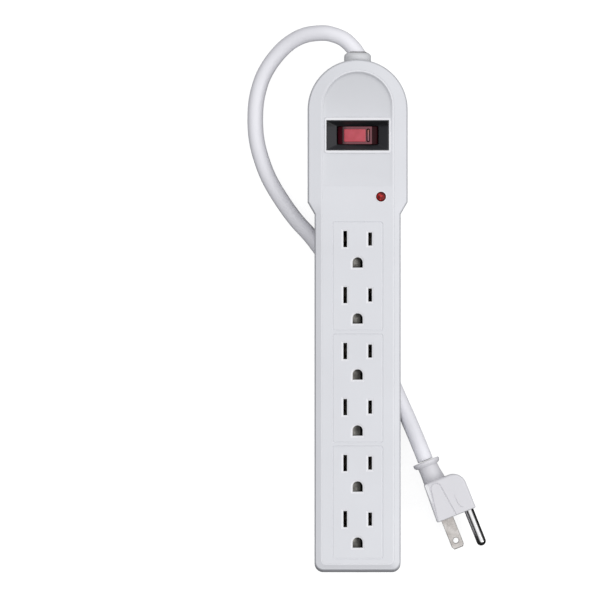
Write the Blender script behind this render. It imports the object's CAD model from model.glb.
"""The looks of a six-outlet power strip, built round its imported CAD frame. All lengths are metres."""

import math

import bmesh
import bpy
from mathutils import Matrix, Vector


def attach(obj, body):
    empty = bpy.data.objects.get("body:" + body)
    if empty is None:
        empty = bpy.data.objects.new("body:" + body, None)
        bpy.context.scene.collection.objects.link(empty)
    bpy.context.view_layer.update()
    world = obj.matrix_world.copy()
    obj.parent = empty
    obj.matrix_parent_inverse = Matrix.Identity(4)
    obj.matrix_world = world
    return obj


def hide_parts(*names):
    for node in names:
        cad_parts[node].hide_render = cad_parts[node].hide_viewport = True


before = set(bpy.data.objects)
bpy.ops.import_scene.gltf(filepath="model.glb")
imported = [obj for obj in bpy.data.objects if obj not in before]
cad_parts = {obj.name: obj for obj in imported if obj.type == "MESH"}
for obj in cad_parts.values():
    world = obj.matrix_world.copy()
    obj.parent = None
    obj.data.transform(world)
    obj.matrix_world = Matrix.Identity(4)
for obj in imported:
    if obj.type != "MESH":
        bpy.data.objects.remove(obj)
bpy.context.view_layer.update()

# ------------ sizes shared with the CAD

GAP = 0.0003
CORD_D = 0.0080
CORD_R = CORD_D / 2

HEAD_HALF = 0.0255
BODY_HALF = 0.02195
HEAD_CENTRE_Y = 0.1054
SHOULDER_TOP_Y = 0.0581
SHOULDER_LOW_Y = 0.0520
FOOT_Y = -0.1308

BACK_Z = 0.0083
FACE_Z = 0.0363
SEAM_Z = 0.0183
WALL = 0.0022
ROOF_Z = FACE_Z - WALL
FLOOR_Z = BACK_Z + 0.0020
BACK_EDGE = 0.0012

OUTLET_PITCH = 0.02857
FIRST_BLADE_Y = 0.0393
OUTLETS = 6
BLADE_X = 0.00635
SLOT_WIDTH = 0.0019
NEUTRAL_SLOT = 0.0083
HOT_SLOT = 0.0067
GROUND_DROP = 0.0119
GROUND_R = 0.00258
GROUND_FLAT = 0.0027

SWITCH_Y = 0.0922
LIP_X = 0.0171
LIP_Y = 0.00925
BEZEL_X = 0.0158
BEZEL_Y = 0.00755
BEZEL_TOP = FACE_Z - 0.0002
BEZEL_LOW = BEZEL_TOP - 0.0015
SWITCH_BODY_X = 0.0140
SWITCH_BODY_Y = 0.0066
SWITCH_FLOOR_Z = 0.0180
PIVOT_Z = 0.0315
PIVOT_R = 0.0011
PIVOT_HOLE_R = 0.0014
ROCKER_TILT = math.radians(7)
ROCKER_HALF_Y = 0.00455
ROCKER_ROOM_Y = 0.00345
ROCKER_END_X = 0.0102
ROCKER_END_R = 0.0010
CAVITY_X = 0.0091
STEM_R = 0.0027
STEM_BORE_R = 0.0017
WINDOW_LOW_X = -0.0067
WINDOW_HIGH_X = 0.0045
WINDOW_HALF_Y = 0.00330
MARK_X = 0.0058

LENS_X = 0.0119
LENS_Y = 0.0609
LENS_R = 0.00245
LENS_FOOT_R = 0.0033
LENS_FOOT_HEIGHT = 0.0013

SCREW_PLACES = (
    (-0.0150, -0.1200),
    (0.0150, -0.1200),
    (-0.0150, -0.0320),
    (0.0150, -0.0320),
    (-0.0172, 0.1120),
    (0.0172, 0.1120),
)
SCREW_R = 0.0014
SCREW_HEAD_R = 0.0029
SCREW_HOLE_R = 0.00175
BOSS_R = 0.0032
POST_R = 0.0042
COUNTERBORE_R = 0.0034
COUNTERBORE_DEPTH = 0.0030
KEYHOLE_Y = (0.0420, -0.1030)
KEYHOLE_R = 0.0040
KEYHOLE_SLOT_HALF = 0.0022
KEYHOLE_SLOT_LENGTH = 0.0075
KEYHOLE_DEPTH = 0.0050
KEYHOLE_POCKET_R = KEYHOLE_R + 0.0004
WELL_WALL = 0.0012
LABEL_POCKET = (0.0140, 0.0205, 0.0012)
LABEL_Y = 0.0055
LABEL_DEPTH = 0.0006
RAIL_Z = 0.0157
RAIL_THICK = 0.0008
RAIL_HALF = 0.0033
RAIL_END_Y = 0.0322
LEAF_THICK = 0.00045

ENTRY_Z = BACK_Z + 0.0140
BUSHING_R = 0.00685
BUSHING_START_Y = 0.1217
BUSHING_END_Y = 0.1350
SLEEVE_R = 0.0045

PLUG_START = Vector((0.0348, -0.0740, 0.0120))
PLUG_HEADING = math.radians(-68.2)
PLUG_BODY_START = 0.0110
PLUG_FACE = 0.0315
PLUG_BLADE_SIDE = -0.0062
PLUG_PIN_SIDE = 0.0150
PLUG_HALF = 0.0120
BLADE_LINE = -0.0007
BLADE_WIDTH = 0.00635
BLADE_THICK = 0.0015
BLADE_LENGTH = 0.0160
BLADE_ROOT = 0.0080
BLADE_HOLE = 0.0119
BLADE_HOLE_R = 0.00145
PIN_LINE = BLADE_LINE + GROUND_DROP
PIN_R = 0.0024
PIN_LENGTH = 0.0194

# The cord's centre line, from the jacket's end inside the housing to the plug.
CORD_EXIT = (-0.0004, 0.1346, 0.0219)
CORD_ROUTE = (
    (0.0015, 0.1100, ENTRY_Z),
    (0.0015, 0.1180, ENTRY_Z),
    (0.0014, 0.1245, ENTRY_Z),
    (0.0009, 0.1300, 0.0222),
    CORD_EXIT,
    (-0.0064, 0.1411, 0.0206),
    (-0.0131, 0.1440, 0.0187),
    (-0.0184, 0.1447, 0.0167),
    (-0.0273, 0.1435, 0.0127),
    (-0.0355, 0.1391, 0.0088),
    (-0.0427, 0.1317, 0.0058),
    (-0.0482, 0.1227, 0.0043),
    (-0.0514, 0.1121, CORD_R),
    (-0.0523, 0.1016, CORD_R),
    (-0.0517, 0.0910, CORD_R),
    (-0.0494, 0.0812, CORD_R),
    (-0.0452, 0.0703, CORD_R),
    (-0.0387, 0.0593, CORD_R),
    (-0.0313, 0.0491, CORD_R),
    (-0.0221, 0.0387, CORD_R),
    (-0.0089, 0.0196, CORD_R),
    (0.0025, -0.0008, CORD_R),
    (0.0125, -0.0220, CORD_R),
    (0.0219, -0.0434, CORD_R),
    (0.0253, -0.0510, 0.0052),
    (0.0280, -0.0573, 0.0076),
    (0.0306, -0.0635, 0.0101),
    (0.0326, -0.0684, 0.0116),
    (0.0347, -0.0737, 0.0120),
)

# ------------ camera

VIEW_CENTRE = Vector((-0.0294, 0.0082, FACE_Z))
VIEW_WIDTH = 0.306
CAMERA_DISTANCE = 10.0
CAMERA_TILT = math.radians(0.2)
SENSOR = 36.0

camera_data = bpy.data.cameras.new("camera")
camera_data.sensor_width = SENSOR
camera_data.lens = SENSOR * CAMERA_DISTANCE / VIEW_WIDTH
camera_data.clip_start = 0.1
camera_data.clip_end = 50.0
camera = bpy.data.objects.new("camera", camera_data)
offset = Vector((0.0, -math.sin(CAMERA_TILT), math.cos(CAMERA_TILT))) * CAMERA_DISTANCE
camera.location = VIEW_CENTRE + offset
camera.rotation_euler = (CAMERA_TILT, 0.0, 0.0)
bpy.context.scene.collection.objects.link(camera)
bpy.context.scene.camera = camera
bpy.context.scene.view_settings.view_transform = "Standard"


# ------------ materials

LOOKS = {}


def start_material(name):
    """A new material, kept by its name in LOOKS."""
    mat = bpy.data.materials.new("look_" + name)
    mat.use_nodes = True
    LOOKS[name] = mat
    return mat.node_tree, mat.node_tree.nodes["Principled BSDF"]


def put(node, values):
    """Sets a node's sockets by their names."""
    for name, value in values.items():
        node.inputs[name].default_value = value


def axis_range(tree, axis, start, end):
    """A node whose result runs from 0 to 1 between two places along one of the object's axes."""
    axes = tree.nodes.new("ShaderNodeSeparateXYZ")
    tree.links.new(tree.nodes.new("ShaderNodeTexCoord").outputs["Object"], axes.inputs["Vector"])
    along = tree.nodes.new("ShaderNodeMapRange")
    put(along, {"From Min": start, "From Max": end})
    tree.links.new(axes.outputs[axis], along.inputs["Value"])
    return along


def noise(tree, scale, detail=2.0, stretch=None, roughness=0.5):
    """A noise texture in the object's own coordinates, in features per metre."""
    source = tree.nodes.new("ShaderNodeTexCoord").outputs["Object"]
    if stretch:
        mapping = tree.nodes.new("ShaderNodeMapping")
        mapping.inputs["Scale"].default_value = stretch
        tree.links.new(source, mapping.inputs["Vector"])
        source = mapping.outputs["Vector"]
    made = tree.nodes.new("ShaderNodeTexNoise")
    put(made, {"Scale": scale, "Detail": detail, "Roughness": roughness})
    tree.links.new(source, made.inputs["Vector"])
    return made.outputs["Fac"]


def ramp(tree, source, stops):
    """A colour ramp over a value, with (place, colour) stops."""
    made = tree.nodes.new("ShaderNodeValToRGB")
    while len(made.color_ramp.elements) < len(stops):
        made.color_ramp.elements.new(0.5)
    for element, (place, colour) in zip(made.color_ramp.elements, stops):
        element.position = place
        element.color = (*colour, 1.0)
    tree.links.new(source, made.inputs["Fac"])
    return made.outputs["Color"]


def spread(tree, source, low, high):
    """A value mapped from 0.3..0.7, the middle of a noise, to low..high."""
    made = tree.nodes.new("ShaderNodeMapRange")
    put(made, {"From Min": 0.3, "From Max": 0.7, "To Min": low, "To Max": high})
    tree.links.new(source, made.inputs["Value"])
    return made.outputs["Result"]


def bump(tree, shader, height, distance):
    """Relief of the given depth in metres from a height between 0 and 1."""
    made = tree.nodes.new("ShaderNodeBump")
    made.inputs["Distance"].default_value = distance
    tree.links.new(height, made.inputs["Height"])
    tree.links.new(made.outputs["Normal"], shader.inputs["Normal"])


def plastic(
    name, colour, roughness, grain=1600.0, depth=0.000012, mottle=0.02, specular=0.5, coat=0.0, fade=None
):
    """Moulded plastic: fine grain, slightly uneven colour, and handling marks in the gloss.
    fade names an axis, two places along it and the shares of the colour left at each."""
    tree, shader = start_material(name)
    low = tuple(c * (1 - mottle) for c in colour)
    high = tuple(min(1.0, c * (1 + mottle)) for c in colour)
    painted = ramp(tree, noise(tree, 26.0, 3.0), ((0.3, low), (0.7, high)))
    if fade:
        axis, start, end, low_share, high_share = fade
        along = axis_range(tree, axis, start, end)
        along.interpolation_type = "SMOOTHSTEP"
        put(along, {"To Min": low_share, "To Max": high_share})
        scaled = tree.nodes.new("ShaderNodeVectorMath")
        scaled.operation = "SCALE"
        tree.links.new(painted, scaled.inputs[0])
        tree.links.new(along.outputs["Result"], scaled.inputs["Scale"])
        painted = scaled.outputs["Vector"]
    tree.links.new(painted, shader.inputs["Base Color"])
    marks = noise(tree, 140.0, 4.0, (1.0, 0.35, 1.0), 0.65)
    gloss = spread(tree, marks, roughness - 0.05, roughness + 0.06)
    tree.links.new(gloss, shader.inputs["Roughness"])
    bump(tree, shader, noise(tree, grain), depth)
    shader.inputs["Specular IOR Level"].default_value = specular
    if coat:
        put(shader, {"Coat Weight": coat, "Coat Roughness": 0.08})


def metal(name, colour, dark, roughness, scale=420.0, stretch=(1.0, 1.0, 1.0), depth=0.000004):
    """Metal with faint drawn lines and uneven tarnish."""
    tree, shader = start_material(name)
    shader.inputs["Metallic"].default_value = 1.0
    stain = noise(tree, 300.0, 4.0, None, 0.6)
    tree.links.new(ramp(tree, stain, ((0.32, dark), (0.62, colour))), shader.inputs["Base Color"])
    lines = noise(tree, scale, 3.0, stretch)
    gloss = spread(tree, lines, roughness * 0.75, roughness * 1.35)
    tree.links.new(gloss, shader.inputs["Roughness"])
    bump(tree, shader, lines, depth)


HOUSING = (0.705, 0.712, 0.738)
BLACK = (0.030, 0.031, 0.035)
RED_END = (0.052, 0.004, 0.009)
RED_RIM = (0.180, 0.048, 0.062)
SOFT_GRAIN = (1100.0, 0.00002)
FINE_GRAIN = (1500.0, 0.000006)
BEZEL_FADE = ("Y", 0.0960, 0.0978, 1.0, 0.35)
END_FADE = ("X", -0.006, 0.006, 1.0, 0.45)
RIM_FADE = ("X", -0.0079, -0.0052, 0.15, 1.0)

plastic("housing_plastic", HOUSING, 0.46)
plastic("housing_scoop", HOUSING, 0.46, fade=("Y", 0.088, 0.121, 0.97, 0.87))
plastic("housing_frame", (0.80, 0.80, 0.82), 0.40)
plastic("ring_white", (0.93, 0.92, 0.93), 0.35)
plastic("housing_deep", (0.085, 0.075, 0.067), 0.70)
plastic("cord_jacket", (0.88, 0.875, 0.91), 0.42, *SOFT_GRAIN)
plastic("plug_plastic", (0.695, 0.688, 0.712), 0.42, *SOFT_GRAIN)
plastic("plug_light", (0.88, 0.88, 0.89), 0.40, *SOFT_GRAIN, 0.01)
plastic("bushing_plastic", (0.69, 0.695, 0.705), 0.45, *SOFT_GRAIN)
plastic("black_plastic", BLACK, 0.42, 2200.0, 0.00002, 0.10)
plastic("bezel_plastic", BLACK, 0.42, 2200.0, 0.00002, 0.10, fade=BEZEL_FADE)
plastic("rocker_end", RED_END, 0.40, *FINE_GRAIN, 0.15, specular=0.1, fade=END_FADE)
plastic("rocker_rim", RED_RIM, 0.30, *FINE_GRAIN, 0.10, coat=0.1, fade=RIM_FADE)
plastic("board", (0.03, 0.16, 0.07), 0.45, 900.0, 0.00001, 0.15)
plastic("varistor_blue", (0.03, 0.10, 0.45), 0.40, 1200.0, 0.00002, 0.08)
plastic("wire_black", (0.02, 0.02, 0.02), 0.45)
plastic("wire_white", (0.78, 0.78, 0.76), 0.45)
plastic("wire_green", (0.02, 0.25, 0.06), 0.45)
metal("brass_dark", (0.44, 0.40, 0.35), (0.36, 0.32, 0.28), 0.75)
metal("brass", (0.78, 0.58, 0.25), (0.60, 0.42, 0.17), 0.30)
metal("nickel", (0.66, 0.63, 0.61), (0.46, 0.43, 0.41), 0.30, 900.0, (1.0, 0.25, 1.0))
metal("socket_metal", (0.17, 0.166, 0.155), (0.15, 0.145, 0.135), 0.50)
metal("chrome", (0.88, 0.88, 0.89), (0.84, 0.84, 0.85), 0.13, 60.0, depth=0.0)
metal("steel", (0.56, 0.57, 0.60), (0.42, 0.43, 0.46), 0.30, 800.0)
metal("label_foil", (0.74, 0.74, 0.73), (0.66, 0.66, 0.65), 0.38, 1500.0, (1.0, 0.05, 1.0))


def rocker_window():
    """Milky red plastic with a lamp chamber behind it: paler and pinker in soft patches."""
    tree, shader = start_material("rocker_window")
    colours = ((0.30, (0.44, 0.053, 0.074)), (0.52, (0.50, 0.060, 0.084)), (0.75, (0.55, 0.076, 0.110)))
    tree.links.new(ramp(tree, noise(tree, 190.0), colours), shader.inputs["Base Color"])
    put(shader, {"Roughness": 0.34, "Coat Weight": 0.10, "Coat Roughness": 0.08})
    bump(tree, shader, noise(tree, 700.0), 0.00001)


LENS_TONES = ((0.09, 0.001, 0.002), (0.27, 0.006, 0.006), (0.60, 0.024, 0.020))


def red_lens(name, depth):
    """Cut red plastic: facets differ in depth of colour."""
    tree, shader = start_material(name)
    cells = tree.nodes.new("ShaderNodeTexVoronoi")
    cells.inputs["Scale"].default_value = 820.0
    tree.links.new(tree.nodes.new("ShaderNodeTexCoord").outputs["Object"], cells.inputs["Vector"])
    split = tree.nodes.new("ShaderNodeSeparateColor")
    tree.links.new(cells.outputs["Color"], split.inputs["Color"])
    low, middle, high = (tuple(c * depth for c in tone) for tone in LENS_TONES)
    colours = ((0.0, low), (0.45, middle), (1.0, high))
    tree.links.new(ramp(tree, split.outputs["Red"], colours), shader.inputs["Base Color"])
    put(shader, {"Roughness": 0.16, "Specular IOR Level": 0.35})
    bump(tree, shader, noise(tree, 900.0), 0.000006)


def lamp_glass():
    """Orange glass of a neon lamp, a little cloudy."""
    tree, shader = start_material("lamp_glass")
    colours = ((0.3, (0.80, 0.50, 0.32)), (0.7, (0.92, 0.66, 0.46)))
    tree.links.new(ramp(tree, noise(tree, 300.0, 3.0), colours), shader.inputs["Base Color"])
    put(shader, {"Roughness": 0.08, "Transmission Weight": 0.6})


def mark_inlay():
    """The inlay of the on mark: warm at the head and pink towards the foot."""
    tree, shader = start_material("mark_inlay")
    along = axis_range(tree, "Y", SWITCH_Y - 0.0033, SWITCH_Y + 0.0033)
    colours = ((0.0, (0.28, 0.13, 0.17)), (0.45, (0.30, 0.12, 0.14)), (1.0, (0.44, 0.16, 0.09)))
    tree.links.new(ramp(tree, along.outputs["Result"], colours), shader.inputs["Base Color"])
    shader.inputs["Roughness"].default_value = 0.35
    bump(tree, shader, noise(tree, 1500.0), 0.000006)


rocker_window()
LOOKS["rocker_red"] = LOOKS["rocker_rim"]
red_lens("red_lens", 1.0)
red_lens("lens_rim", 0.35)
lamp_glass()
mark_inlay()

# The rails under the slots are darker brass than the small contacts.
for node_name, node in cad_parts.items():
    for place in node.material_slots:
        look = place.material.name.split(".")[0]
        place.material = LOOKS["brass_dark" if node_name in ("hot_bus", "neutral_bus") else look]


# ------------ mesh tools


def join_rings(bm, low, high, material_index=0):
    """The band of faces between two rings of equally many vertices."""
    for a, b, c, d in zip(low, low[1:] + low[:1], high[1:] + high[:1], high):
        bm.faces.new((a, b, c, d)).material_index = material_index


def loft(bm, loops, material_index=0, bands=None):
    """A closed solid through loops of equally many points; bands give a material to each band."""
    rings = [[bm.verts.new(point) for point in loop] for loop in loops]
    bands = bands or [material_index] * (len(rings) - 1)
    for low, high, index in zip(rings, rings[1:], bands):
        join_rings(bm, low, high, index)
    bm.faces.new(list(reversed(rings[0]))).material_index = bands[0]
    bm.faces.new(rings[-1]).material_index = bands[-1]


def lofted(loops, material_index=0, bands=None):
    """A new bmesh with one lofted solid in it."""
    bm = bmesh.new()
    loft(bm, loops, material_index, bands)
    return bm


def ring_solid(bm, loops):
    """A closed ring through loops of equally many points, the last joined to the first."""
    rings = [[bm.verts.new(point) for point in loop] for loop in loops]
    for low, high in zip(rings, rings[1:] + rings[:1]):
        join_rings(bm, low, high)


def arc(centre, radius, start, end, steps):
    """Points along an arc, with its start and end in degrees."""
    points = []
    for i in range(steps + 1):
        angle = math.radians(start + (end - start) * i / steps)
        points.append((centre[0] + radius * math.cos(angle), centre[1] + radius * math.sin(angle)))
    return points


def circle(centre, radius, steps):
    return arc(centre, radius, 0, 360 - 360 / steps, steps - 1)


def level(outline, z):
    """A flat outline as a loop at height z."""
    return [(x, y, z) for x, y in outline]


def stack(outline, rows):
    """Loops of an outline: each row holds what the outline takes, then the loop's height."""
    return [level(outline(*values), z) for *values, z in rows]


def rounded_edge(outline, edge, low):
    """Loops that round the lowest edge of a solid, from its flat underside outwards and up."""
    rows = []
    for step in range(7):
        angle = math.radians(90 * step / 6)
        rows.append((edge * (1 - math.sin(angle)), low + edge * (1 - math.cos(angle))))
    return stack(outline, rows)


def upright(outline, x):
    """An outline in Y and Z as a loop at x."""
    return [(x, y, z) for y, z in outline]


def square(half_x, half_y, x, y):
    """A rectangle round a centre."""
    return [(x + half_x * a, y + half_y * b) for a, b in ((1, 1), (-1, 1), (-1, -1), (1, -1))]


def rounded(half_x, half_y, radius, centre=(0.0, 0.0), steps=6):
    """A rectangle with rounded corners."""
    points = []
    for quarter, corner in enumerate(square(half_x - radius, half_y - radius, *centre)):
        points += arc(corner, radius, 90 * quarter, 90 * quarter + 90, steps)
    return points


def add_box(bm, x, y, z):
    """A box between two values on each axis."""
    loft(bm, [level([(x[0], y[0]), (x[1], y[0]), (x[1], y[1]), (x[0], y[1])], h) for h in z])


def cylinder(bm, centre, radius, low, high, steps=24, axis="Z"):
    """A cylinder about an axis through centre."""
    order = {"X": (2, 0, 1), "Y": (1, 2, 0), "Z": (0, 1, 2)}[axis]
    flat = (centre[order.index(0)], centre[order.index(1)])
    outline = circle(flat, radius, steps)
    loft(bm, [[tuple((a, b, height)[k] for k in order) for a, b in outline] for height in (low, high)])


def solid(name, bm, looks, smooth=30):
    """An object from a bmesh, with outward faces and sharp edges above an angle."""
    bmesh.ops.recalc_face_normals(bm, faces=bm.faces)
    mesh = bpy.data.meshes.new(name)
    bm.to_mesh(mesh)
    bm.free()
    for look in looks:
        mesh.materials.append(LOOKS[look])
    mesh.shade_smooth()
    mesh.set_sharp_from_angle(angle=math.radians(smooth))
    made = bpy.data.objects.new(name, mesh)
    bpy.context.scene.collection.objects.link(made)
    return made


def carve(target, steps, smooth=30):
    """Applies (operation, bmesh) steps to a solid, then drops the helper solids."""
    looks = list(target.data.materials)
    for operation, bm in steps:
        tool = solid("tool", bm, [])
        for look in looks:
            tool.data.materials.append(look)
        modifier = target.modifiers.new("step", "BOOLEAN")
        modifier.operation = operation
        modifier.solver = "EXACT"
        modifier.object = tool
        graph = bpy.context.evaluated_depsgraph_get()
        result = bpy.data.meshes.new_from_object(target.evaluated_get(graph))
        target.modifiers.clear()
        old = target.data
        target.data = result
        bpy.data.meshes.remove(old)
        bpy.data.objects.remove(tool, do_unlink=True)
    target.data.name = target.name
    target.data.shade_smooth()
    target.data.set_sharp_from_angle(angle=math.radians(smooth))


def weigh(target):
    """Keeps broad faces flat in the shading beside their rounded edges."""
    modifier = target.modifiers.new("normals", "WEIGHTED_NORMAL")
    modifier.keep_sharp = True
    modifier.weight = 100


def finish_piece(target, body, slot, *nodes):
    """Rides a piece on its body and names its slot and the CAD nodes that it stands for."""
    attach(target, body)
    if nodes:
        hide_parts(*nodes)
    return target


def smooth_route(route, step):
    """Points about a step apart on the smooth curve through the route's points."""
    nodes = [Vector(point) for point in route]
    nodes = [nodes[0] * 2 - nodes[1], *nodes, nodes[-1] * 2 - nodes[-2]]
    fine = []
    parts = 24
    for a, b, c, d in zip(nodes, nodes[1:], nodes[2:], nodes[3:]):
        for i in range(parts):
            t = i / parts
            squared = (2 * a - 5 * b + 4 * c - d) * t * t
            cubed = (3 * b - a - 3 * c + d) * t * t * t
            fine.append(0.5 * (2 * b + (c - a) * t + squared + cubed))
    fine.append(nodes[-2])
    lengths = [0.0]
    for a, b in zip(fine, fine[1:]):
        lengths.append(lengths[-1] + (b - a).length)
    count = max(2, round(lengths[-1] / step))
    points = []
    place = 0
    for i in range(count + 1):
        wanted = lengths[-1] * i / count
        while place < len(fine) - 2 and lengths[place + 1] < wanted:
            place += 1
        share = (wanted - lengths[place]) / (lengths[place + 1] - lengths[place])
        points.append(fine[place].lerp(fine[place + 1], share))
    return points


# ------------ housing outlines

HEAD_STEPS = 72
CORNER_STEPS = 10
# The foot's corners and draft and the face's rounded edge are finer here than in the CAD.
FOOT_CORNER_R = 0.0044
FOOT_DRAFT = 0.0011
BORDER_HALF = 0.0184
BORDER_CENTRE_Y = 0.1070
BORDER_FOOT_Y = -0.1266
BORDER_CORNER_R = 0.0024
BAND_DROP = 0.0010
ROUND_WIDTH = 0.0010
ROUND_DROP = 0.0030
ROUND_STEPS = 22
SEAM_BEVEL = 0.00015
# The bottom cover's rim has a tongue inside, which stands in a step of the top cover's wall.
TONGUE_INSET = 0.0012
TONGUE_RISE = 0.0010
STEP_INSET = TONGUE_INSET - GAP
STEP_RISE = 0.0013


def strip_outline(inset, draft=0.0):
    """The housing's outline, moved inwards by inset; draft pulls in the foot end alone."""
    corner = max(FOOT_CORNER_R - inset, 0.0006)
    slope = math.atan2(HEAD_HALF - BODY_HALF, SHOULDER_TOP_Y - SHOULDER_LOW_Y)
    lift = inset * math.tan(slope / 2)
    foot = FOOT_Y + inset + draft
    return outline_points(BODY_HALF - inset, HEAD_HALF - inset, foot, corner, lift, HEAD_CENTRE_Y)


def border_outline(inset):
    """The line round the flat face, moved inwards by inset, point for point like strip_outline."""
    half = BORDER_HALF - inset
    return outline_points(half, half, BORDER_FOOT_Y + inset, BORDER_CORNER_R - inset, 0.0, BORDER_CENTRE_Y)


def outline_points(body, head, foot, corner, lift, centre_y):
    """An outline from its half widths, foot line, foot corners, lift of the shoulders and head centre."""
    low_y = SHOULDER_LOW_Y + lift
    top_y = SHOULDER_TOP_Y + lift
    points = arc((body - corner, foot + corner), corner, -90, 0, CORNER_STEPS)
    points += [(body, low_y), (head, top_y)]
    points += arc((0.0, centre_y), head, 0, 180, HEAD_STEPS)
    points += [(-head, top_y), (-body, low_y)]
    return points + arc((corner - body, foot + corner), corner, 180, 270, CORNER_STEPS)


def blade_line(index):
    """The place along Y of an outlet's two blade slots."""
    return FIRST_BLADE_Y - index * OUTLET_PITCH


def ground_outline(index, spread_by):
    """The ground hole: an arc towards the cord end and a flat towards the foot."""
    y = blade_line(index) - GROUND_DROP
    radius = GROUND_R + spread_by
    flat = y - GROUND_FLAT - spread_by
    return [*arc((0.0, y), radius, 0, 180, 24), (-radius, flat), (radius, flat)]


def add_cord_passage(bm):
    """The round opening in the end wall that the collar sits in."""
    ends = (BUSHING_START_Y - 0.0002, BUSHING_END_Y + 0.0010)
    cylinder(bm, (0, 0, ENTRY_Z), BUSHING_R + 0.0002, *ends, 64, "Y")


# ------------ top cover

SCOOP_HALF = 0.0177
SCOOP_LINE_Y = 0.0663
SCOOP_TOP_Y = BORDER_CENTRE_Y + SCOOP_HALF
RAMP_SLOPE = 0.070
SCOOP_FALL = 0.00125
FRAME_WIDTH = 0.00095
FRAME_DROP = 0.00055
PANELS = ((0.0482, -0.0077), (-0.0090, -0.0648), (-0.0661, -0.1241))
PANEL_HALF = 0.0130


def scoop_floor(x, y):
    """Height of the head's scoop: a ramp down to a bowed line, then gently deeper to the top."""
    bowed = 0.0724 - 0.0046 * (x / SCOOP_HALF) ** 2
    if y < bowed:
        return FACE_Z - (y - SCOOP_LINE_Y) * RAMP_SLOPE
    along = (y - bowed) / (SCOOP_TOP_Y - bowed)
    side = 1.0 - 0.6 * (x / SCOOP_HALF) ** 2 * (1.0 - along)
    return FACE_Z - (bowed - SCOOP_LINE_Y) * RAMP_SLOPE - SCOOP_FALL * along * along * side


def scoop_outline(inset):
    """The scoop's edge moved inwards: an arch over straight sides, almost still at the ramp's foot."""
    half = SCOOP_HALF - inset
    low = SCOOP_LINE_Y - 0.0008 + inset * 0.06
    rows = 24
    reach = low - BORDER_CENTRE_Y
    points = arc((0.0, BORDER_CENTRE_Y), half, 0, 180, HEAD_STEPS)
    points += [(-half, BORDER_CENTRE_Y + reach * i / rows) for i in range(1, rows + 1)]
    points += [(-half + 2 * half * i / 8, low) for i in range(1, 8)]
    points += [(half, low - reach * i / rows) for i in range(rows)]
    return points


def scoop_solid():
    """What is cut out of the head for the scoop."""
    loops = [level(scoop_outline(-0.0001), FACE_Z + z) for z in (0.0020, 0.00025)]
    for inset, fade in ((0.0002, 0.16), (0.0006, 0.52), (0.0011, 0.84), (0.0019, 1.0)):
        loops.append([(x, y, FACE_Z + (scoop_floor(x, y) - FACE_Z) * fade) for x, y in scoop_outline(inset)])
    for share in range(1, 12):
        inset = 0.0019 + (SCOOP_HALF - 0.00193) * share / 11
        loops.append([(x, y, scoop_floor(x, y)) for x, y in scoop_outline(inset)])
    return lofted(loops, 3)


def face_loops(half_x, half_y, centre, rows):
    """Loops of a rounded rectangle near the face: rows hold how far each moves inwards, and its height."""
    loops = []
    for inset, z in rows:
        loops.append(level(rounded(half_x - inset, half_y - inset, 0.0014 - inset, centre), FACE_Z + z))
    return loops


def switch_lip():
    """The raised frame round the switch, as a solid block with rounded outer edges."""
    rows = ((0.0, -0.0019), (0.0, -0.0004), (0.00022, 0.00016), (0.00036, 0.00030))
    return lofted(face_loops(LIP_X, LIP_Y, (0, SWITCH_Y), rows), 1)


def face_bosses():
    """The screw bosses under the face and the block round the switch."""
    bm = bmesh.new()
    top = ROOF_Z + 0.0008
    for x, y in SCREW_PLACES:
        cylinder(bm, (x, y, 0), BOSS_R, SEAM_Z + GAP / 2, top)
    add_box(bm, (-LIP_X, LIP_X), (SWITCH_Y - LIP_Y, SWITCH_Y + LIP_Y), (ROOF_Z - 0.0020, top))
    return bm


def panel_cuts():
    """Three shallow panels round the outlets, each outlined by a fine groove."""
    bm = bmesh.new()
    rows = ((-0.0006, 0.0006), (0.0, -0.00005), (0.00022, -0.00026), (0.00044, -0.00026), (0.00080, -0.00009))
    for top, low in PANELS:
        half_y = (top - low) / 2
        loft(bm, face_loops(PANEL_HALF, half_y, (0.0, (top + low) / 2), rows))
    return bm


def scoop_line_cut():
    """The faint line where the scoop's ramp starts."""
    y = SCOOP_LINE_Y - 0.0002
    groove = [(y - 0.0006, FACE_Z + 0.0002), (y + 0.0006, FACE_Z + 0.0002), (y, FACE_Z - 0.00003)]
    return lofted([upright(groove, x) for x in (-0.0168, 0.0168)])


def hole_cuts():
    """The outlets' holes with their chamfered frames, the switch's pocket and the rest."""
    bm = bmesh.new()
    deep = ROOF_Z - 0.0030
    above = FACE_Z + 0.0020
    frame_rows = (
        (0.0, deep),
        (0.0, FACE_Z - FRAME_DROP - 0.00025),
        (0.0, FACE_Z - FRAME_DROP),
        (FRAME_WIDTH, FACE_Z - 0.00010),
        (FRAME_WIDTH + 0.00012, above),
    )
    for index in range(OUTLETS):
        y = blade_line(index)
        for x, length in ((-BLADE_X, NEUTRAL_SLOT), (BLADE_X, HOT_SLOT)):
            slot = [level(square(SLOT_WIDTH / 2 + s, length / 2 + s, x, y), z) for s, z in frame_rows]
            loft(bm, slot, bands=(2, 1, 1, 0))
        loft(bm, [level(ground_outline(index, s), z) for s, z in frame_rows], bands=(2, 1, 1, 0))
    case = square(SWITCH_BODY_X + GAP, SWITCH_BODY_Y + GAP, 0.0, SWITCH_Y)
    shelf = BEZEL_LOW - GAP
    pocket = [level(case, ROOF_Z - 0.0050), level(case, shelf)]
    rows = ((0.00012, shelf), (0.00010, FACE_Z - 0.00022), (0.00024, FACE_Z + 0.00026), (0.00030, above))
    pocket += [level(square(BEZEL_X + s, BEZEL_Y + s, 0.0, SWITCH_Y), z) for s, z in rows]
    loft(bm, pocket, bands=(2, 2, 2, 1, 1))
    cylinder(bm, (LENS_X, LENS_Y, 0), LENS_R + 0.00012, deep, above, 48)
    for x, y in SCREW_PLACES:
        cylinder(bm, (x, y, 0), SCREW_HOLE_R, SEAM_Z - 0.0020, ROOF_Z - 0.0025)
    add_cord_passage(bm)
    return bm


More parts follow.
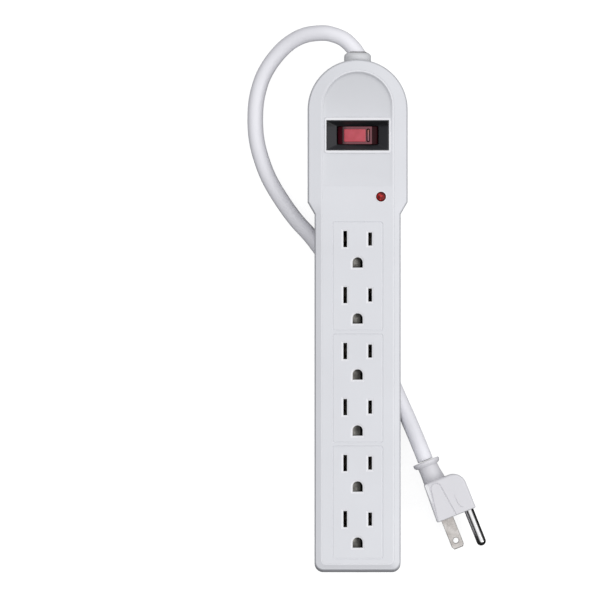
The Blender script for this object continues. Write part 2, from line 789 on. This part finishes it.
def make_housing_top():
    """The top cover: a shell with a rounded edge, its face worked by the cuts above."""
    rim = SEAM_Z + GAP / 2
    step_z = rim + STEP_RISE
    wall = ((WALL, ROOF_Z), (WALL, step_z), (STEP_INSET, step_z), (STEP_INSET, rim))
    loops = stack(strip_outline, (*wall, (SEAM_BEVEL, rim), (0.0, rim + SEAM_BEVEL)))
    round_low = FACE_Z - BAND_DROP - ROUND_DROP
    for step in range(ROUND_STEPS + 1):
        share = step / ROUND_STEPS
        angle = math.radians(90 * share)
        inset = ROUND_WIDTH * (1 - math.cos(angle))
        draft = FOOT_DRAFT * (0.85 + 0.15 * share)
        loops.append(level(strip_outline(inset, draft), round_low + ROUND_DROP * math.sin(angle)))
    for inset, drop in ((-0.00030, 0.00004), (-0.00010, 0.00015), (0.00006, 0.00015), (0.00036, 0.0)):
        loops.append(level(border_outline(inset), FACE_Z - drop))
    bm = lofted(loops, bands=[0] * (len(loops) - 2) + [1])
    bm.faces.ensure_lookup_table()
    bm.faces[-1].material_index = 0
    cover = solid("housing_top", bm, ["housing_plastic", "housing_frame", "housing_deep", "housing_scoop"])
    steps = [("UNION", face_bosses()), ("DIFFERENCE", scoop_solid()), ("UNION", switch_lip())]
    steps += [("DIFFERENCE", cut()) for cut in (panel_cuts, scoop_line_cut, hole_cuts)]
    carve(cover, steps, 14)
    weigh(cover)
    finish_piece(cover, "strip", "housing_plastic", "top_cover")


# ------------ bottom cover and screws


def keyhole_outline(y, spread_by):
    """A keyhole: a round opening with a slot towards the cord end."""
    slot = KEYHOLE_SLOT_HALF + spread_by
    radius = KEYHOLE_R + spread_by
    join_angle = math.degrees(math.asin(slot / radius))
    points = arc((0.0, y), radius, 90 + join_angle, 450 - join_angle, 36)
    return points + arc((0.0, y + KEYHOLE_SLOT_LENGTH), slot, 0, 180, 14)


def well_outline(y, radius):
    """The oval round a keyhole, for the closed well behind it."""
    points = arc((0.0, y), radius, 180, 360, 18)
    return points + arc((0.0, y + KEYHOLE_SLOT_LENGTH), radius, 0, 180, 18)


def make_housing_bottom():
    """The bottom cover: a tray with screw posts, keyholes in wells and a sunk place for the label."""
    rim = SEAM_Z - GAP / 2
    lip_z = rim + TONGUE_RISE
    loops = rounded_edge(strip_outline, BACK_EDGE, BACK_Z)
    loops += stack(strip_outline, ((0.0, rim - SEAM_BEVEL), (SEAM_BEVEL, rim), (TONGUE_INSET, rim)))
    loops += stack(strip_outline, ((TONGUE_INSET, lip_z), (WALL, lip_z), (WALL, FLOOR_Z)))
    cover = solid("housing_bottom", lofted(loops), ["housing_plastic"])

    sunk = FLOOR_Z - 0.0008
    below = BACK_Z - 0.0020
    well_top = BACK_Z + KEYHOLE_DEPTH
    posts = bmesh.new()
    back = bmesh.new()
    inner = bmesh.new()
    for y in KEYHOLE_Y:
        outer = well_outline(y, KEYHOLE_POCKET_R + WELL_WALL)
        loft(posts, [level(outer, sunk), level(outer, well_top + WELL_WALL)])
        neck_z = BACK_Z + WELL_WALL
        rows = ((0.0006, below), (0.0003, BACK_Z), (0.0, BACK_Z + 0.0003), (0.0, neck_z + 0.0002))
        loft(back, [level(keyhole_outline(y, s), z) for s, z in rows])
        pocket = well_outline(y, KEYHOLE_POCKET_R)
        loft(inner, [level(pocket, neck_z), level(pocket, well_top)])
    for x, y in SCREW_PLACES:
        cylinder(posts, (x, y, 0), POST_R, sunk, rim)
        rows = ((0.0006, -0.0020), (0.0003, 0.0), (0.0, 0.0003), (0.0, COUNTERBORE_DEPTH))
        loft(back, [level(circle((x, y), COUNTERBORE_R + s, 32), BACK_Z + z) for s, z in rows])
        cylinder(inner, (x, y, 0), SCREW_HOLE_R, BACK_Z + 0.0010, rim + 0.0020)
    label = rounded(*LABEL_POCKET, (0.0, LABEL_Y))
    loft(back, [level(label, below), level(label, BACK_Z + LABEL_DEPTH)])
    add_cord_passage(inner)
    carve(cover, [("UNION", posts), ("DIFFERENCE", back), ("DIFFERENCE", inner)], 24)
    weigh(cover)
    finish_piece(cover, "strip", "housing_plastic", "bottom_cover")


def make_screws():
    """Pan-head screws seen from below, with a cross recess."""
    low = BACK_Z + 0.0006
    top = BACK_Z + COUNTERBORE_DEPTH - GAP
    rows = (
        (SCREW_HEAD_R * 0.55, low),
        (SCREW_HEAD_R * 0.80, low + 0.00012),
        (SCREW_HEAD_R * 0.95, low + 0.00040),
        (SCREW_HEAD_R, low + 0.00085),
        (SCREW_HEAD_R, top),
        (SCREW_R, top),
        (SCREW_R, ROOF_Z - 0.0042),
        (SCREW_R * 0.3, ROOF_Z - 0.0030),
    )
    for number, (x, y) in enumerate(SCREW_PLACES, start=1):
        bm = lofted([level(circle((x, y), radius, 32), z) for radius, z in rows])
        screw = solid("screw_" + str(number), bm, ["steel"], 40)
        steps = []
        for quarter in (0, 90):
            turn = Matrix.Rotation(math.radians(23 * number + quarter), 4, "Z")
            rings = []
            for scale, z in ((1.0, low - 0.001), (1.0, low), (0.45, low + 0.0014)):
                bar = level(square(0.0016 * scale, 0.00038 * scale, 0, 0), z)
                rings.append([Matrix.Translation((x, y, 0)) @ turn @ Vector(point) for point in bar])
            steps.append(("DIFFERENCE", lofted(rings)))
        carve(screw, steps, 40)
        finish_piece(screw, "strip", "steel", "cover_screw_" + str(number))


# ------------ switch


def make_switch_bezel():
    """The black snap-in frame: a funnel with mitred slopes, a case below, and pivot holes."""
    floor = SWITCH_FLOOR_Z + 0.0022
    rows = (
        (SWITCH_BODY_X, SWITCH_BODY_Y, 0.0005, SWITCH_FLOOR_Z),
        (SWITCH_BODY_X, SWITCH_BODY_Y, 0.0005, BEZEL_LOW),
        (BEZEL_X, BEZEL_Y, 0.0004, BEZEL_LOW),
        (BEZEL_X, BEZEL_Y, 0.0004, BEZEL_TOP - 0.00015),
        (BEZEL_X - 0.00015, BEZEL_Y - 0.00015, 0.00025, BEZEL_TOP),
    )
    block = lofted([level(rounded(*sizes, (0, SWITCH_Y), 3), z) for *sizes, z in rows])
    bezel = solid("switch_bezel", block, ["bezel_plastic"])
    rows = (
        (0.0107, 0.0048, 0.0007, floor),
        (0.0107, 0.0048, 0.0007, FACE_Z - 0.0031),
        (0.0110, 0.0050, 0.0008, FACE_Z - 0.0029),
        (0.0150, 0.0069, 0.0006, BEZEL_TOP - 0.0003),
        (0.0154, 0.0072, 0.0004, BEZEL_TOP + 0.00002),
        (0.0154, 0.0072, 0.0004, BEZEL_TOP + 0.001),
    )
    funnel = lofted([level(rounded(*sizes, (0, SWITCH_Y), 5), z) for *sizes, z in rows])
    holes = bmesh.new()
    cylinder(holes, (0, 0, PIVOT_Z), PIVOT_HOLE_R, SWITCH_Y - 0.0080, SWITCH_Y + 0.0080, 32, "Y")
    for x in (-0.0075, 0.0, 0.0075):
        y = (SWITCH_Y - ROCKER_ROOM_Y, SWITCH_Y + ROCKER_ROOM_Y)
        add_box(holes, (x - 0.0007, x + 0.0007), y, (0.017, floor + 0.001))
    carve(bezel, [("DIFFERENCE", funnel), ("DIFFERENCE", holes)], 22)
    weigh(bezel)
    finish_piece(bezel, "strip", "black_plastic", "switch_housing")


def stadium(half_x, half_y):
    """A narrow oval about the place of the rocker's mark."""
    points = arc((MARK_X, half_y - half_x), half_x, 0, 180, 16)
    return points + arc((MARK_X, half_x - half_y), half_x, 180, 360, 16)


def set_on_pivot(piece):
    """Turns a piece made about the pivot to the rocker's rest tilt, inside its mesh."""
    piece.data.transform(Matrix.Translation((0.0, SWITCH_Y, PIVOT_Z)) @ Matrix.Rotation(-ROCKER_TILT, 4, "Y"))


def rocker_shell():
    """The rocker's block, made about its pivot, with dropped dark ends and a paler flat top."""
    right = [(ROCKER_END_X, -0.0030), (ROCKER_END_X, 0.0006)]
    right += arc((ROCKER_END_X - ROCKER_END_R, 0.0006), ROCKER_END_R, 0, 55, 4)[1:]
    right += [(0.0080, 0.00262), (0.0076, 0.00282), (0.0072, 0.0029)]
    profile = right + [(0.0, 0.0028)] + [(-x, z) for x, z in reversed(right)]
    loops = []
    for inset, drop in ((0.0, 0.00022), (0.0001, 0.00006), (0.0003, 0.0)):
        y = -ROCKER_HALF_Y + inset
        loops.append([(x, y, z - (drop if z > -0.0029 else 0.0)) for x, z in profile])
    loops += [[(x, -y, z) for x, y, z in loop] for loop in reversed(loops)]
    bm = lofted(loops)
    bm.normal_update()
    bmesh.ops.recalc_face_normals(bm, faces=bm.faces)
    for face in bm.faces:
        flat = face.normal.z > 0.93 and abs(face.calc_center_median().x) < 0.0076
        face.material_index = 1 if flat else 0
    return solid("rocker_shell", bm, ["rocker_end", "rocker_rim", "rocker_window"])


def window_outline(inset, radius):
    """The outline of the window in the rocker's top, moved inwards by inset."""
    half_x = (WINDOW_HIGH_X - WINDOW_LOW_X) / 2 - inset
    centre = ((WINDOW_LOW_X + WINDOW_HIGH_X) / 2, 0.0)
    return rounded(half_x, WINDOW_HALF_Y - inset, radius, centre)


def insert(name, look, loops):
    """A small piece set into the rocker's top."""
    piece = solid(name, lofted(loops), [look], 40)
    set_on_pivot(piece)
    finish_piece(piece, "rocker", "rocker_red")


def make_rocker():
    """The rocker's shell with its stem and pivots, and the window and the mark set into its top."""
    rocker = rocker_shell()
    cavity = bmesh.new()
    add_box(cavity, (-CAVITY_X, CAVITY_X), (-ROCKER_ROOM_Y, ROCKER_ROOM_Y), (-0.005, 0.0013))
    stem = bmesh.new()
    cylinder(stem, (0, 0, 0), STEM_R, -0.0046, 0.0018, 32)
    for side in (-1, 1):
        ends = sorted((side * (ROCKER_HALF_Y - 0.0006), side * (SWITCH_BODY_Y - 0.0008)))
        cylinder(stem, (0, 0, 0), PIVOT_R, *ends, 24, "Y")
    bore = bmesh.new()
    cylinder(bore, (0, 0, 0), STEM_BORE_R, -0.0060, 0.0010, 24)
    sunk = lofted(stack(window_outline, ((0.0, 0.0003, 0.00268), (-0.00012, 0.0004, 0.0032))), 1)
    loft(sunk, [level(stadium(0.00092, 0.00352), z) for z in (0.00255, 0.0034)])
    carve(rocker, [("DIFFERENCE", cavity), ("UNION", stem), ("DIFFERENCE", bore), ("DIFFERENCE", sunk)], 24)
    set_on_pivot(rocker)
    weigh(rocker)
    finish_piece(rocker, "rocker", "rocker_red", "switch_rocker")

    rows = ((0.00008, 0.00266), (0.00008, 0.00284), (0.00025, 0.00300), (0.00050, 0.00304))
    insert("rocker_window", "rocker_window", [level(window_outline(inset, 0.0005), z) for inset, z in rows])
    for name, look, half_x, half_y, low, top in (
        ("rocker_mark_ring", "rocker_end", 0.00088, 0.00348, 0.00257, 0.00290),
        ("rocker_on_mark", "mark_inlay", 0.00036, 0.00285, 0.00270, 0.00299),
    ):
        rows = ((0.0, low), (0.0, top - 0.00008), (0.00010, top))
        insert(name, look, [level(stadium(half_x - inset, half_y - inset), z) for inset, z in rows])


# ------------ indicator


def make_indicator():
    """A cut lens: a small table, two rows of facets and a plain skirt, in a thin white ring."""
    place = (LENS_X, LENS_Y)
    bm = bmesh.new()
    facets = 9
    rows = (
        (LENS_R, ROOF_Z - GAP, 0.0),
        (LENS_R, FACE_Z - 0.00002, 0.0),
        (LENS_R * 0.86, FACE_Z + 0.00024, 0.0),
        (LENS_R * 0.66, FACE_Z + 0.00042, 0.5),
        (LENS_R * 0.28, FACE_Z + 0.00058, 0.0),
    )
    rings = []
    for radius, z, shift in rows:
        turn = 360.0 / facets * shift + 11.0
        outline = arc(place, radius, turn, turn + 360 - 360 / facets, facets - 1)
        rings.append([bm.verts.new(point) for point in level(outline, z)])
    for row, (low, high) in enumerate(zip(rings, rings[1:])):
        for i in range(facets):
            j = (i + 1) % facets
            if rows[row][2] == rows[row + 1][2]:
                bm.faces.new((low[i], low[j], high[j], high[i])).material_index = 1
            elif rows[row + 1][2] > rows[row][2]:
                bm.faces.new((low[i], low[j], high[i]))
                bm.faces.new((low[j], high[j], high[i]))
            else:
                bm.faces.new((low[i], low[j], high[j]))
                bm.faces.new((low[i], high[j], high[i]))
    bm.faces.new(list(reversed(rings[0])))
    bm.faces.new(rings[-1])
    foot_top = ROOF_Z - GAP - 0.00003
    cylinder(bm, (*place, 0), LENS_FOOT_R, foot_top - LENS_FOOT_HEIGHT, foot_top, 36)
    lens = solid("indicator_jewel", bm, ["red_lens", "lens_rim"], 8)
    finish_piece(lens, "strip", "red_lens", "indicator_lens")

    bm = bmesh.new()
    rows = (
        (0.00008, -0.0004),
        (0.00008, 0.00010),
        (0.00014, 0.00022),
        (0.00030, 0.00024),
        (0.00044, 0.00012),
        (0.00048, -0.00004),
        (0.00030, -0.0004),
    )
    ring_solid(bm, [level(circle(place, LENS_R + s, 64), FACE_Z + z) for s, z in rows])
    collar = solid("indicator_ring", bm, ["ring_white"], 40)
    finish_piece(collar, "strip", "housing_plastic")


# ------------ ground contacts


def make_ground_contacts():
    """The ground rail, with a pair of spring leaves under each ground hole that bow together."""
    grounds = [blade_line(index) - GROUND_DROP for index in range(OUTLETS)]
    bm = bmesh.new()
    rail_y = (grounds[-1] - 0.0036, RAIL_END_Y)
    add_box(bm, (-RAIL_HALF, RAIL_HALF), rail_y, (RAIL_Z, RAIL_Z + RAIL_THICK))
    foot = RAIL_Z + RAIL_THICK / 2
    left = ((-0.00245, foot), (-0.00245, 0.0250), (-0.00100, 0.0282), (0.00150, 0.0300), (0.00185, 0.0308))
    left += ((0.00140, 0.0314), (-0.00060, 0.0318), (-0.00270, 0.0324))
    right = ((0.00245, foot), (0.00245, 0.0250), (0.00215, 0.0290), (0.00215, 0.0312), (0.00270, 0.0324))
    for y in grounds:
        for side, bend in ((-1, left), (1, right)):
            outer = [(x + side * LEAF_THICK, z - 0.0003) for x, z in bend]
            outline = [*bend, *reversed(outer)]
            loft(bm, [[(x, y + reach, z) for x, z in outline] for reach in (-0.0026, 0.0029)])
    contacts = solid("ground_contacts", bm, ["socket_metal"], 35)
    finish_piece(contacts, "strip", "brass", "ground_bus")


# ------------ cord entry


def make_strain_relief():
    """The short collar in the end wall, with a sloped mouth and a dark sleeve close round the cord."""
    rows = (
        (BUSHING_R, BUSHING_START_Y),
        (BUSHING_R, 0.1326),
        (BUSHING_R - 0.00010, 0.1331),
        (BUSHING_R - 0.00045, 0.13365),
        (BUSHING_R - 0.00110, 0.13420),
        (BUSHING_R - 0.00190, 0.13460),
        (BUSHING_R - 0.00220, 0.13466),
        (SLEEVE_R + 0.00005, 0.13470),
        (SLEEVE_R, BUSHING_END_Y),
        (SLEEVE_R - 0.0001, BUSHING_END_Y),
        (SLEEVE_R - 0.0001, BUSHING_START_Y),
    )
    bm = bmesh.new()
    ring_solid(bm, [[(x, y, ENTRY_Z + z) for x, z in circle((0, 0), radius, 64)] for radius, y in rows])
    for face in bm.faces:
        middle = face.calc_center_median()
        if math.hypot(middle.x, middle.z - ENTRY_Z) < SLEEVE_R + 0.00014:
            face.material_index = 1
    collar = solid("cord_collar", bm, ["bushing_plastic", "housing_deep"], 32)
    weigh(collar)
    finish_piece(collar, "strip", "bushing_plastic", "strain_relief")


def make_cord():
    """The cord as a round tube along its route."""
    points = smooth_route(CORD_ROUTE, 0.0022)
    data = bpy.data.curves.new("mains_cord", "CURVE")
    data.dimensions = "3D"
    data.bevel_depth = CORD_R
    data.bevel_resolution = 7
    data.use_fill_caps = True
    spline = data.splines.new("POLY")
    spline.points.add(len(points) - 1)
    for target, point in zip(spline.points, points):
        target.co = (*point, 1.0)
    spline.use_smooth = True
    data.materials.append(LOOKS["cord_jacket"])
    cord = bpy.data.objects.new("mains_cord", data)
    bpy.context.scene.collection.objects.link(cord)
    return finish_piece(cord, "strip", "cord_jacket", "cord")


# ------------ plug

# The collar and the neck: radius and distance from the cord's end.
PLUG_NECK = (
    (0.0064, 0.0001),
    (0.0067, 0.0002),
    (0.0069, 0.0004),
    (0.0069, 0.0016),
    (0.0062, 0.0025),
    (0.0053, 0.0028),
    (0.0051, 0.0030),
    (0.0051, 0.0033),
    (0.0052, 0.0060),
    (0.0055, 0.0090),
    (0.0057, 0.0112),
    (0.0058, 0.0130),
)


def set_plug(piece):
    """Turns a piece made along X from the cord's end to the plug's heading, inside its mesh."""
    piece.data.transform(Matrix.Translation(PLUG_START) @ Matrix.Rotation(PLUG_HEADING, 4, "Z"))


def plug_outline(inset):
    """The plug body from its broad side: u along the plug, v towards the ground pin."""
    start = PLUG_BODY_START + inset
    face = PLUG_FACE - inset * 0.35
    low = PLUG_BLADE_SIDE + inset
    high = PLUG_PIN_SIDE - inset
    shoulder = 0.0066 - inset
    corner = max(0.0007 - inset, 0.0002)
    heel = max(0.0008 - inset, 0.0003)
    points = arc((start + heel, low + 0.0007 + heel), heel, 180, 270, 6)
    points += arc((face - corner, low + corner), corner, 270, 360, 6)
    points += arc((face - corner, high - corner), corner, 0, 90, 6)
    points += arc((start + shoulder, high - shoulder), shoulder, 90, 180, 24)
    return points


def tongue(inset):
    """The finger grip's outline on the plug's broad side: arched at the neck, wider at the face."""
    near = PLUG_BODY_START + 0.0012 + inset
    far = PLUG_FACE + 0.002
    points = []
    for i in range(25):
        angle = math.pi * i / 24
        u = near + 0.0036 * (1 - math.sin(angle))
        points.append((u, (0.0028 - inset) * math.cos(angle) - 0.0005))
    return [*points, (far, PLUG_BLADE_SIDE + inset), (far, 0.0046 - inset)]


def tongue_cut(bm, upward):
    """A fine groove along the grip's outline, on the upper or the lower side."""
    rows = ((-0.0004, -0.0006), (-0.0004, 0.0), (0.0, 0.00050), (0.0004, 0.0), (0.0004, -0.0006))
    ring_solid(bm, [level(tongue(inset), upward * (PLUG_HALF - depth)) for inset, depth in rows])


def bevel_cut(bm, upward):
    """The shallow bevel along the blade side, broad at the neck and narrow at the face."""
    edge = PLUG_BLADE_SIDE
    outside = upward * (PLUG_HALF + 0.002)
    rings = []
    for u, width, depth in ((PLUG_BODY_START - 0.001, 0.0030, 0.0009), (PLUG_FACE + 0.001, 0.0002, 0.0001)):
        low = upward * (PLUG_HALF - depth)
        step = [(edge - 0.002, outside), (edge - 0.002, low), (edge, low)]
        slope = [(edge + width, upward * PLUG_HALF), (edge + width, outside)]
        rings.append(upright(step + slope, u))
    loft(bm, rings, 1)


def grip_curve_cut(bm, upward):
    """The second, fainter curve beside the ground pin."""
    rings = []
    for i in range(17):
        share = i / 16
        u = 0.0205 + 0.0084 * math.sin(math.pi / 2 * share)
        v = 0.0071 + 0.0034 * share ** 4
        above = upward * (PLUG_HALF + 0.0003)
        below = upward * (PLUG_HALF - math.sin(math.pi * share) * 0.00036 - 0.00002)
        rings.append(upright([(v - 0.00045, above), (v + 0.00045, above), (v, below)], u))
    loft(bm, rings)


def make_plug_body():
    """The moulded body with its collar and neck, and pockets for the blades and the pin."""
    loops = rounded_edge(plug_outline, 0.0014, -PLUG_HALF)
    loops += [[(x, y, -z) for x, y, z in loop] for loop in reversed(loops)]
    body = solid("plug_shell", lofted(loops), ["plug_plastic", "plug_light"])
    loops = []
    for radius, u in PLUG_NECK:
        lean = 0.0005 * max(0.0, (u - 0.0032) / 0.0080)
        loops.append(upright(circle((lean, 0.0), radius, 64), u))
    steps = [("UNION", lofted(loops))]
    for cut in (bevel_cut, tongue_cut, grip_curve_cut):
        tool = bmesh.new()
        for upward in (1, -1):
            cut(tool, upward)
        steps.append(("DIFFERENCE", tool))

    pockets = bmesh.new()
    along = (PLUG_FACE - BLADE_ROOT - GAP, PLUG_FACE + 0.002)
    half_y = BLADE_WIDTH / 2 + 0.000075
    half_z = BLADE_THICK / 2 + 0.0001
    for z in (-BLADE_X, BLADE_X):
        add_box(pockets, along, (BLADE_LINE - half_y, BLADE_LINE + half_y), (z - half_z, z + half_z))
    cylinder(pockets, (0, PIN_LINE, 0), PIN_R + 0.0001, *along, 40, "X")
    carve(body, [*steps, ("DIFFERENCE", pockets)], 24)
    set_plug(body)
    weigh(body)
    return finish_piece(body, "strip", "cord_jacket", "plug_body")


def make_blade(name, node, centre):
    """A flat folded blade with rounded edges, a bevelled tip and a round hole."""
    tip = PLUG_FACE + BLADE_LENGTH
    half = BLADE_WIDTH / 2
    thick = BLADE_THICK / 2
    edge = 0.00018
    loops = []
    for inset, z in ((edge, -thick), (0.0, -thick + edge), (0.0, thick - edge), (edge, thick)):
        side = [(PLUG_FACE - BLADE_ROOT, half - inset), (tip - 0.0014, half - inset)]
        side.append((tip - inset * 2, half - 0.0008))
        outline = [(u, BLADE_LINE - v) for u, v in side] + [(u, BLADE_LINE + v) for u, v in reversed(side)]
        loops.append(level(outline, centre + z))
    blade = solid(name, lofted(loops), ["nickel"], 25)
    rows = ((0.00065, -0.0015), (0.0002, -thick), (0.0, -thick + 0.0002))
    rows += tuple((s, -z) for s, z in reversed(rows))
    place = (PLUG_FACE + BLADE_HOLE, BLADE_LINE)
    hole = lofted([level(circle(place, BLADE_HOLE_R + s, 40), centre + z) for s, z in rows])
    carve(blade, [("DIFFERENCE", hole)], 25)
    set_plug(blade)
    return finish_piece(blade, "strip", "nickel", node)


def make_pin():
    """The round ground pin with its domed tip."""
    tip = PLUG_FACE + PIN_LENGTH
    rows = [(PIN_R, PLUG_FACE - BLADE_ROOT)]
    for step in range(13):
        angle = math.radians(88 * step / 12)
        rows.append((PIN_R * math.cos(angle), tip - PIN_R * (1 - math.sin(angle))))
    bm = lofted([upright(circle((PIN_LINE, 0.0), radius, 96), u) for radius, u in rows])
    pin = solid("plug_pin", bm, ["chrome"], 40)
    set_plug(pin)
    return finish_piece(pin, "strip", "nickel", "plug_ground_pin")


# ------------ the object

cord = make_cord()
plug = [
    make_plug_body(),
    make_blade("plug_blade_a", "plug_blade_neutral", BLADE_X),
    make_blade("plug_blade_b", "plug_blade_hot", -BLADE_X),
    make_pin(),
]
make_housing_top()
make_housing_bottom()
make_screws()
make_switch_bezel()
make_rocker()
make_indicator()
make_ground_contacts()
make_strain_relief()

# ------------ floor and light


def make_floor():
    """A pale flat floor that stays white in the picture and only takes faint contact shade."""
    tree, shader = start_material("floor")
    grain = noise(tree, 60.0, 3.0)
    greys = ramp(tree, grain, ((0.3, (0.30, 0.30, 0.30)), (0.7, (0.33, 0.33, 0.33))))
    tree.links.new(greys, shader.inputs["Base Color"])
    put(shader, {"Roughness": 0.9, "Specular IOR Level": 0.0})
    put(shader, {"Emission Color": (1.0, 1.0, 1.0, 1.0), "Emission Strength": 0.86})
    bm = bmesh.new()
    bmesh.ops.create_grid(bm, x_segments=2, y_segments=2, size=6.0)
    floor = solid("floor", bm, ["floor"])
    floor.location = (0.0, 0.0, -0.0002)
    floor.visible_diffuse = False
    floor.visible_glossy = False


def mix(tree, choice, first):
    """A node that gives its first colour, and its B colour where the choice is 1."""
    made = tree.nodes.new("ShaderNodeMix")
    made.data_type = "RGBA"
    tree.links.new(choice, made.inputs["Factor"])
    tree.links.new(first, made.inputs["A"])
    return made


def make_world():
    """Soft studio light: bright overhead, fading to the sides; reflections fade faster."""
    world = bpy.data.worlds.new("studio")
    bpy.context.scene.world = world
    world.use_nodes = True
    tree = world.node_tree
    coords = tree.nodes.new("ShaderNodeTexCoord")

    def towards(x, y, z):
        """How far a ray points along a direction, from 0 to 1."""
        dot = tree.nodes.new("ShaderNodeVectorMath")
        dot.operation = "DOT_PRODUCT"
        dot.inputs[1].default_value = (x, y, z)
        tree.links.new(coords.outputs["Generated"], dot.inputs[0])
        share = tree.nodes.new("ShaderNodeMapRange")
        put(share, {"From Min": -1.0, "From Max": 1.0})
        tree.links.new(dot.outputs["Value"], share.inputs["Value"])
        return share.outputs["Result"]

    tones = [(0.0, (0.06, 0.06, 0.07)), (0.45, (0.07, 0.07, 0.08))]
    tones += [(0.62, (0.56, 0.57, 0.59)), (1.0, (1.14, 1.14, 1.16))]
    soft = ramp(tree, towards(0.10, 0.30, 0.95), tones)
    greys = ((0.0, 0.05), (0.48, 0.003), (0.70, 0.01), (0.86, 0.14), (0.94, 1.0))
    hard = ramp(tree, towards(0.26, 0.10, 0.96), [(place, (grey,) * 3) for place, grey in greys])
    path = tree.nodes.new("ShaderNodeLightPath")
    glossy = mix(tree, path.outputs["Is Glossy Ray"], soft)
    tree.links.new(hard, glossy.inputs["B"])
    seen = mix(tree, path.outputs["Is Camera Ray"], glossy.outputs["Result"])
    seen.inputs["B"].default_value = (1.05, 1.05, 1.05, 1.0)
    tree.links.new(seen.outputs["Result"], tree.nodes["Background"].inputs["Color"])


def add_light(name, place, size, power):
    """A square area light aimed at the housing, unseen by the camera."""
    data = bpy.data.lights.new(name, "AREA")
    data.shape = "SQUARE"
    data.size = size
    data.energy = power
    light = bpy.data.objects.new(name, data)
    light.location = place
    aim = Vector((-0.01, 0.0, 0.02)) - Vector(place)
    light.rotation_euler = aim.to_track_quat("-Z", "Y").to_euler()
    light.visible_camera = False
    bpy.context.scene.collection.objects.link(light)


make_floor()
make_world()
add_light("key", (1.75, -0.4, 2.2), 0.9, 17.0)
